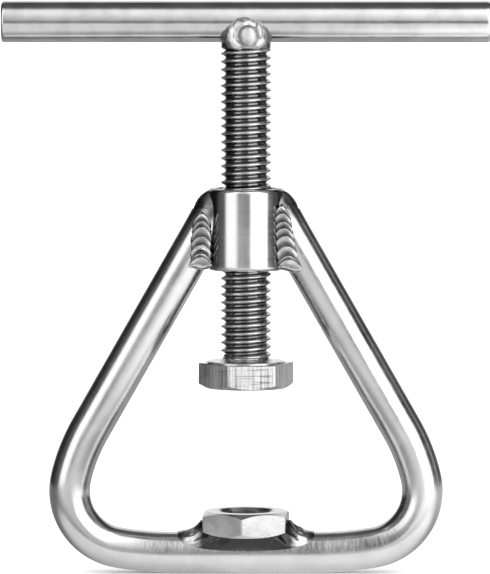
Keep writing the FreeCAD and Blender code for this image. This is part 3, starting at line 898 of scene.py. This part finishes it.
@dataclass
class BushWeld:
    """One TIG bead down the valley between the bush and a leg, frozen ripple below ripple.

    The rims are the heights of its ripples. Pairs give a size at its top and at its end. The bead
    ends in a tongue, and a crater is a pit where the torch left it.
    """

    side: int
    face: int
    rims: tuple[float, ...]
    across: tuple[float, float] = (6.0, 7.2)
    half: tuple[float, float] = (1.6, 1.9)
    crater: float = 0.0
    rounding: tuple[float, float] = (0.9, 1.5)
    seat: float = 2.75
    crown: float = 1.1
    arch: float = 1.45
    ripple: float = 0.5
    step: float = 0.16
    fall: float = 1.15
    tongue: float = 2.1
    depth: float = 1.7
    skin: float = 0.03
    pit: tuple[float, float] = (0.35, 0.42)
    rings: int = 210
    spokes: int = 64

    def lift(self, height: float) -> float:
        """Give how far a ripple stands proud at a height, 0 to 1: a steep step, then a slow fall."""
        above = [rim for rim in self.rims if rim >= height]
        if not above:
            return 0.0
        rim = above[-1]
        below = [other for other in self.rims if other < height]
        pitch = rim - below[0] if below else self.tongue + 1.0
        part = (rim - height) / pitch
        step = min((rim - height) / self.step, 1.0)
        return sin(step * pi / 2) * (1 - part) ** self.fall

    def place(self, around: float, part: float, height: float, end: float) -> Vector:
        """Place one vertex of the bead.

        Args:
            around: Angle round the bead's section, its outer half first.
            part: How far down the bead the vertex is, 0 to 1.
            height: Its ring's height at the section's middle.
            end: Height of the bead's end.

        Returns:
            The place in millimetres.
        """
        lateral, out = cos(around), sin(around)
        ends = (min((self.rims[0] + 0.2 - height) / self.rounding[0], 1.0),
                min((height - end) / self.rounding[1], 1.0))
        round_end = sqrt(max(1 - (1 - ends[0]) ** 2, 0)) * sqrt(max(1 - (1 - ends[1]) ** 2, 0))
        lift = self.lift(height)
        wander = noise.noise(Vector((height * 0.7, self.side * 3.0, self.face * 2.0)))
        half = self.half[0] + (self.half[1] - self.half[0]) * part
        half *= 0.95 + 0.1 * lift + 0.12 * wander
        arch = self.arch + 0.4 * noise.noise(Vector((height * 0.45, 9.0, self.side)))
        arch *= min((height - end) / self.tongue, 1.0)
        tilt = 0.4 * noise.noise(Vector((height * 0.6, self.side * 5.0, 2.0)))
        x = self.across[0] + (self.across[1] - self.across[0]) * part ** 1.4
        x += half * round_end * lateral
        z = height - arch * lateral ** 2 * round_end - tilt * lateral
        if out > 0:
            seed = Vector((self.side * 4.0, self.face * 7.0, 0.0))
            skin = noise.noise(Vector((x, z, 0)) / 0.7 + seed) * self.skin
            if self.crater:
                deep, tall = self.pit
                skin += deep * exp(-(lateral ** 2 + ((height - self.crater) / tall) ** 2) / 0.16)
            proud = self.crown * (1 - 0.35 * part) + self.ripple * lift * (1 - 0.3 * lateral ** 2)
            y = self.seat + (proud * out ** 0.75 + skin) * round_end
        else:
            y = self.seat + self.depth * out * round_end
        y -= max(part - 0.75, 0.0)
        return Vector((self.side * x, self.face * y, z))

    def build(self) -> None:
        """Loft the bead from its first ripple to the tongue that runs out along the leg."""
        top, end = self.rims[0] + 0.2, self.rims[-1] - self.tongue
        parts = [ring / (self.rings - 1) for ring in range(self.rings)]
        heights = [top + (end - top) * part for part in parts]
        bm = bmesh.new()
        ripple = bm.verts.layers.float.new(RIPPLE)
        loft(bm, self.spokes, self.rings,
             lambda around, ring: self.place(around, parts[ring], heights[ring], end))
        for index, vert in enumerate(bm.verts):
            height = heights[index // self.spokes]
            vert[ripple] = 1 - self.lift(height) if height > self.rims[-1] else 0.0
        where = f"{'right' if self.side > 0 else 'left'}_{'rear' if self.face > 0 else 'front'}"
        finish_piece(bm, f"bead_{where}", "frame", TIG_BEAD,
                     (f"bush_weld_{where}",), crisp=pi)


@dataclass
class CapWeld:
    """The ground weld that closes a leg's top into the bush."""

    side: int
    rods: RodFrame
    ground: float = 4.0
    dome: float = 0.85
    below: float = 6.0
    length: float = 14.0
    lip: float = 0.05
    rings: int = 64

    def build(self) -> None:
        """Carry the leg on to the bush's top and grind its corner round."""
        rods = self.rods
        x0, z0, heading = rods.station(sum(length for length, _ in rods.bends()) - rods.leg_run)
        way = Vector((cos(heading), 0, sin(heading)))
        out = Vector((-sin(heading), 0, cos(heading)))
        lean = heading - pi / 2
        low, high = rods.cap_height, span("threaded_bush")[1].z
        back = x0 + rods.rod_radius / cos(lean) - (high - z0) * tan(lean)
        middle_x = back - self.ground * tan(pi / 4 - lean / 2)
        middle_z = high - self.ground
        first = (low - z0) / way.z - self.below

        def place(around: float, ring: int) -> Vector:
            """Place one vertex of the carried-on leg."""
            run = first + self.length * ring / (self.rings - 1)
            point = Vector((x0, 0, z0)) + way * run - out * rods.rod_radius * sin(around)
            point.y = rods.rod_radius * cos(around)
            return point

        bm = bmesh.new()
        loft(bm, rods.spokes, self.rings, place)
        cut_off(bm, Vector((0, 0, low)), Vector((0, 0, -1)))
        cut_off(bm, Vector((0, 0, high - self.lip)), Vector((0, 0, 1)))
        cut_off(bm, Vector((rods.bush_wall, 0, 0)), Vector((-1, 0, 0)))
        for vert in bm.verts:
            rise = min(max(vert.co.z - middle_z, 0.0), self.ground)
            limit = middle_x + sqrt(self.ground ** 2 - rise ** 2)
            vert.co.x = max(min(vert.co.x, limit), rods.bush_wall) * self.side
            above = (vert.co.z - low) / (high - low) * self.dome
            vert.co.y *= sqrt(max(1 - above ** 2, 0.0))
        roughen(bm, 1.8, 0.06, self.side * 5.0)
        where = "right" if self.side > 0 else "left"
        finish_piece(bm, f"cap_{where}", "frame", GROUND_BEAD,
                     (f"cap_weld_{where}",), crisp=radians(50))


@dataclass
class AnvilWeld:
    """The hollow-faced weld that saddles the foot bar under the anvil nut.

    It runs down from a ledge under the nut to a toe on the rod. The ledge is a half length, a half
    width and a height, and the swell is what its ends gain in length and in height.
    """

    toe: float = 10.7
    rod_radius: float = 3.2
    proud: float = 0.06
    ledge: tuple[float, float, float] = (5.3, 5.6, 5.95)
    swell: tuple[float, float] = (1.75, 2.35)
    wrap: float = radians(80)
    hollow: tuple[float, float] = (0.32, 0.86)
    ripples: int = 22
    ripple: float = 0.07
    rough: float = 0.22
    spokes: int = 240
    rings: int = 26

    def place(self, around: float, ring: int) -> Vector:
        """Place one vertex of the saddle.

        Args:
            around: Angle round the nut, from the bar's right end.
            ring: Its ring. The first two and the last are buried in the nut and the rod.

        Returns:
            The place in millimetres.
        """
        c, s = cos(around), sin(around)
        end = abs(c) ** 1.6
        length, width, height = self.ledge
        top = Vector((c * (length + self.swell[0] * end), s * width,
                      height + self.swell[1] * end ** 2.2))
        turn = self.wrap * abs(s) ** 0.42
        drop = self.rod_radius + self.proud
        bottom = Vector((self.toe * copysign(abs(c) ** 0.86, c), copysign(drop * sin(turn), s),
                         self.rod_radius + drop * cos(turn)))
        if ring == 0:
            return Vector((c * 2.0, s * 1.5, 5.2))
        if ring == 1:
            return Vector((top.x * 0.85, top.y * 0.8, 5.6))
        if ring == self.rings - 1:
            return Vector((bottom.x * 0.94, bottom.y * 0.7, bottom.z - 0.7))
        part = (ring - 2) / (self.rings - 4)
        pull = top.lerp(bottom, self.hollow[0])
        pull.z = top.z + (bottom.z - top.z) * self.hollow[1]
        point = top * (1 - part) ** 2 + pull * 2 * part * (1 - part) + bottom * part ** 2
        pool = sin(part * pi)
        ripple = self.ripple * sin(around * self.ripples + 2.2 * part) * pool
        rough = noise.noise(point / 1.3) * self.rough * pool
        return point + Vector((point.x * 0.4, point.y, 2.0)).normalized() * (ripple + rough)

    def build(self) -> None:
        """Loft the saddle from the nut down to its toe."""
        bm = bmesh.new()
        loft(bm, self.spokes, self.rings, self.place)
        finish_piece(bm, "anvil_saddle", "frame", SADDLE_BEAD_SHADED,
                     ("anvil_weld_left", "anvil_weld_right"), crisp=pi)


@dataclass
class HandleWeld:
    """The weld that joins the screw's end to the cross bar, on one face."""

    face: int
    ball: bool

    def build(self) -> None:
        """Heap the lumps, melt them and leave the ball where the torch stopped."""
        bm = bmesh.new()
        face = self.face
        # Each lump is a middle, its half sizes and a tilt in degrees.
        for x, y, z, radii, tilt in (
                (-0.2, 2.6, 84.9, (2.9, 1.75, 2.0), 0), (0.2, 3.0, 84.0, (2.6, 1.5, 1.9), 8),
                (-2.4, 2.8, 84.1, (1.1, 1.5, 1.7), 18), (-3.1, 2.4, 84.0, (0.75, 1.3, 1.1), 25),
                (2.1, 3.0, 84.6, (0.75, 1.4, 1.8), -12), (2.9, 2.7, 84.3, (0.6, 1.4, 1.5), -18),
                (3.4, 2.3, 84.1, (0.5, 1.2, 1.1), -22), (-1.7, 3.2, 82.8, (1.6, 1.1, 0.95), 28),
                (1.6, 3.2, 82.8, (1.7, 1.1, 0.9), -18), (2.6, 2.8, 83.0, (0.8, 1.1, 0.9), -10),
                (-0.1, 3.4, 82.7, (1.3, 1.0, 0.8), 0)):
            blob(bm, Vector((x, face * y, z)), radii, Matrix.Rotation(radians(tilt), 4, "Y"))
        made = fused(bm, relax=1)
        roughen(made, 0.9, 0.16, 7.0 + face)
        if self.ball:
            blob(made, Vector((0.38, face * 4.15, 83.95)), (1.74, 1.4, 1.74))
        where = "rear" if face > 0 else "front"
        finish_piece(made, f"handle_bead_{where}", "screw", HEAPED_BEAD,
                     (f"handle_weld_{where}",), crisp=pi)


# ---------------------------------------------------------------- the studio

@dataclass(frozen=True)
class Panel:
    """One soft patch of light: degrees round from the front, then degrees up or millimetres out.

    Its sides fade over twice soft, and its lower and upper edges over twice rise.
    """

    left: float
    right: float
    low: float
    high: float
    radiance: float
    soft: float = 4.0
    rise: float = 4.0

    def add(self, tree: NodeTree, azimuth: NodeSocket,
            other: NodeSocket, total: NodeSocket | float) -> NodeSocket:
        """Add this patch to a sum of patches.

        Args:
            tree: The node tree.
            azimuth: Degrees round from the front.
            other: Degrees up, or millimetres out.
            total: The sum so far.

        Returns:
            The sum with this patch.
        """
        across = window(tree, azimuth, self.left, self.right, self.soft)
        if self.right > 180.0:
            again = window(tree, azimuth, self.left - 360, self.right - 360, self.soft)
            across = add_node(tree, "Math", {"operation": "MAXIMUM"}, (across, again))[0]
        upward = window(tree, other, self.low, self.high, self.rise)
        both = add_node(tree, "Math", TIMES, (across, upward))[0]
        return add_node(tree, "Math", {"operation": "MULTIPLY_ADD"}, (both, self.radiance, total))[0]


@dataclass
class Studio:
    """A pale table, light panels all round it and the camera."""

    panels: tuple[Panel, ...] = (
        Panel(-63.0, -27.0, -30.0, 71.0, 1.9, 6.0),
        Panel(14.0, 67.0, -30.0, 71.0, 2.7),
        Panel(-27.0, 0.0, 6.0, 71.0, 0.66),
        Panel(-27.0, 0.0, 30.0, 71.0, 0.6, 4.0, 24.0),
        Panel(0.0, 14.0, 6.0, 71.0, 1.05),
        Panel(0.0, 14.0, 30.0, 71.0, 0.7, 4.0, 24.0),
        Panel(-27.0, -6.0, -40.0, 6.0, 0.46, 4.0, 3.0),
        Panel(-6.0, 14.0, -40.0, 6.0, 0.33, 4.0, 3.0),
        Panel(-95.0, -60.0, -30.0, 60.0, 0.10, 14.0),
        Panel(72.0, 150.0, -30.0, 20.0, 0.08, 6.0),
        Panel(99.0, 110.0, -5.0, 75.0, 0.45, 3.0),
        Panel(150.0, 210.0, -8.0, 48.0, 1.0, 6.0, 8.0),
        Panel(-80.0, 280.0, 60.0, 95.0, 0.09, 12.0, 12.0),
    )
    # Patches of the table top's glow, most from 40 to 60 mm out, so that its middle stays dim as a
    # painted shadow of the object.
    glow: tuple[Panel, ...] = (
        Panel(-70.0, 230.0, -10.0, 900.0, 0.22, 20.0, 5.0),
        Panel(-66.0, 148.0, 60.0, 900.0, 0.30, 14.0, 30.0),
        Panel(-50.0, 88.0, 60.0, 900.0, 0.30, 14.0, 30.0),
        Panel(15.0, 80.0, 40.0, 900.0, 0.70, 14.0, 25.0),
    )
    dark: float = 0.035
    glow_least: float = 0.26
    strip: float = 0.8
    paper: float = 1.6
    sweep: float = 12.0
    reach: float = 0.5
    eye: Vector = Vector((-0.00015, -0.848, 0.103))
    aim: Vector = Vector((-0.00015, 0.0, 0.04475))
    lens: float = 342.0

    @staticmethod
    def azimuth(tree: NodeTree, x: NodeSocket,
                y: NodeSocket) -> NodeSocket:
        """Give the degrees round from the front, to the right, of a direction."""
        forward = add_node(tree, "Math", TIMES, (y, -1.0))[0]
        turn = add_node(tree, "Math", {"operation": "ARCTAN2"}, (x, forward))[0]
        return add_node(tree, "Math", {"operation": "DEGREES"}, (turn,))[0]

    def light(self) -> None:
        """Build the world: panels for reflections, an even sky for the paper and the backdrop."""
        world = bpy.data.worlds.new("studio")
        bpy.context.scene.world = world
        tree = empty_tree(world)
        way = add_node(tree, "TexCoord")["Generated"]
        x, y, z = add_node(tree, "SeparateXYZ", {}, (way,))
        azimuth = self.azimuth(tree, x, y)
        climb = add_node(tree, "Math", {"operation": "ARCSINE"}, (z,))[0]
        elevation = add_node(tree, "Math", {"operation": "DEGREES"}, (climb,))[0]
        total: NodeSocket | float = self.dark
        for panel in self.panels:
            total = panel.add(tree, azimuth, elevation, total)
        ray = add_node(tree, "LightPath")
        even = add_node(tree, "Math", {"operation": "MAXIMUM"},
                        (ray["Is Camera Ray"], ray["Is Diffuse Ray"]))[0]
        strength = add_node(tree, "Mix", {}, {0: even, 2: total, 3: self.paper})[0]
        sky = add_node(tree, "Background", {}, {"Color": (1, 1, 1, 1), "Strength": strength})[0]
        add_node(tree, "OutputWorld", {}, {"Surface": sky})

    def table(self) -> None:
        """Lay the white paper sweep, and the glowing table top that the metal mirrors, whose glow is
        painted light and shadow: dim round the object, bright in a strip just in front of it.
        """
        paper = bpy.data.materials.new("white_paper_sweep")
        tree = empty_tree(paper)
        shader = add_node(tree, "BsdfPrincipled", {}, {"Base Color": linear("#F6F6F6"),
                                                       "Roughness": 0.9, "Specular IOR Level": 0.0})
        add_node(tree, "OutputMaterial", {}, {"Surface": shader[0]})
        table_glow = bpy.data.materials.new("glowing_table_top")
        tree = empty_tree(table_glow)
        x, y, _, out = readings(tree, add_node(tree, "TexCoord")["Object"])
        azimuth = self.azimuth(tree, x, y)
        strip = add_node(tree, "Math", TIMES, tuple(
            window(tree, *limits) for limits in ((x, -52.0, 52.0, 14.0), (y, -19.0, -1.0, 5.0))))[0]
        total = add_node(tree, "Math", {"operation": "MULTIPLY_ADD"},
                         (strip, self.strip, self.glow_least))[0]
        for patch in self.glow:
            total = patch.add(tree, azimuth, out, total)
        shine = add_node(tree, "Emission", {}, {"Color": (1, 1, 1, 1), "Strength": total})[0]
        add_node(tree, "OutputMaterial", {}, {"Surface": shine})
        for name, radius, material, mirrored in (("sweep", self.sweep, paper, False),
                                                 ("table_top", self.reach, table_glow, True)):
            bm = bmesh.new()
            bmesh.ops.create_circle(bm, cap_ends=True, radius=radius, segments=96)
            floor = placed(bm, name, material)
            floor.visible_glossy = mirrored
            floor.visible_camera = floor.visible_diffuse = floor.visible_shadow = not mirrored

    def camera(self) -> None:
        """Set the camera a little above the object, far back, as a long lens sees it."""
        data = bpy.data.cameras.new("camera")
        data.lens = self.lens
        data.sensor_width = 36.0
        data.clip_start, data.clip_end = 0.05, 30.0
        eye = bpy.data.objects.new("camera", data)
        eye.location = self.eye
        eye.rotation_euler = (self.aim - self.eye).to_track_quat("-Z", "Y").to_euler()
        bpy.context.scene.collection.objects.link(eye)
        bpy.context.scene.camera = eye

    def build(self) -> None:
        """Set up the camera, the table and the light."""
        self.camera()
        self.table()
        self.light()
        bpy.context.scene.view_settings.view_transform = "Standard"


def main() -> None:
    """Build the studio and every piece of the nutcracker, and log each piece's face count."""
    logging.basicConfig(level=logging.INFO, format="%(name)s: %(message)s")
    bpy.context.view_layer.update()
    Studio().build()
    rods = RodFrame()
    rods.build()
    ThreadedBush().build()
    AnvilNut().build()
    PressScrew().build()
    CrossBar().build()
    BushWeld(1, -1, (57.7, 56.5, 55.2, 54.2, 53.0, 51.4, 49.9, 49.3), (5.5, 7.1), (1.4, 2.05)).build()
    BushWeld(-1, -1, (56.5, 55.3, 54.4, 52.9, 51.6, 50.3, 49.7), (6.85, 7.15), (1.5, 1.9), 50.9).build()
    for side in (1, -1):
        BushWeld(side, 1, tuple(57.2 - 1.25 * index for index in range(7))).build()
    for side in (-1, 1):
        CapWeld(side, rods).build()
    AnvilWeld().build()
    HandleWeld(-1, True).build()
    HandleWeld(1, False).build()


if __name__ == "__main__":
    main()
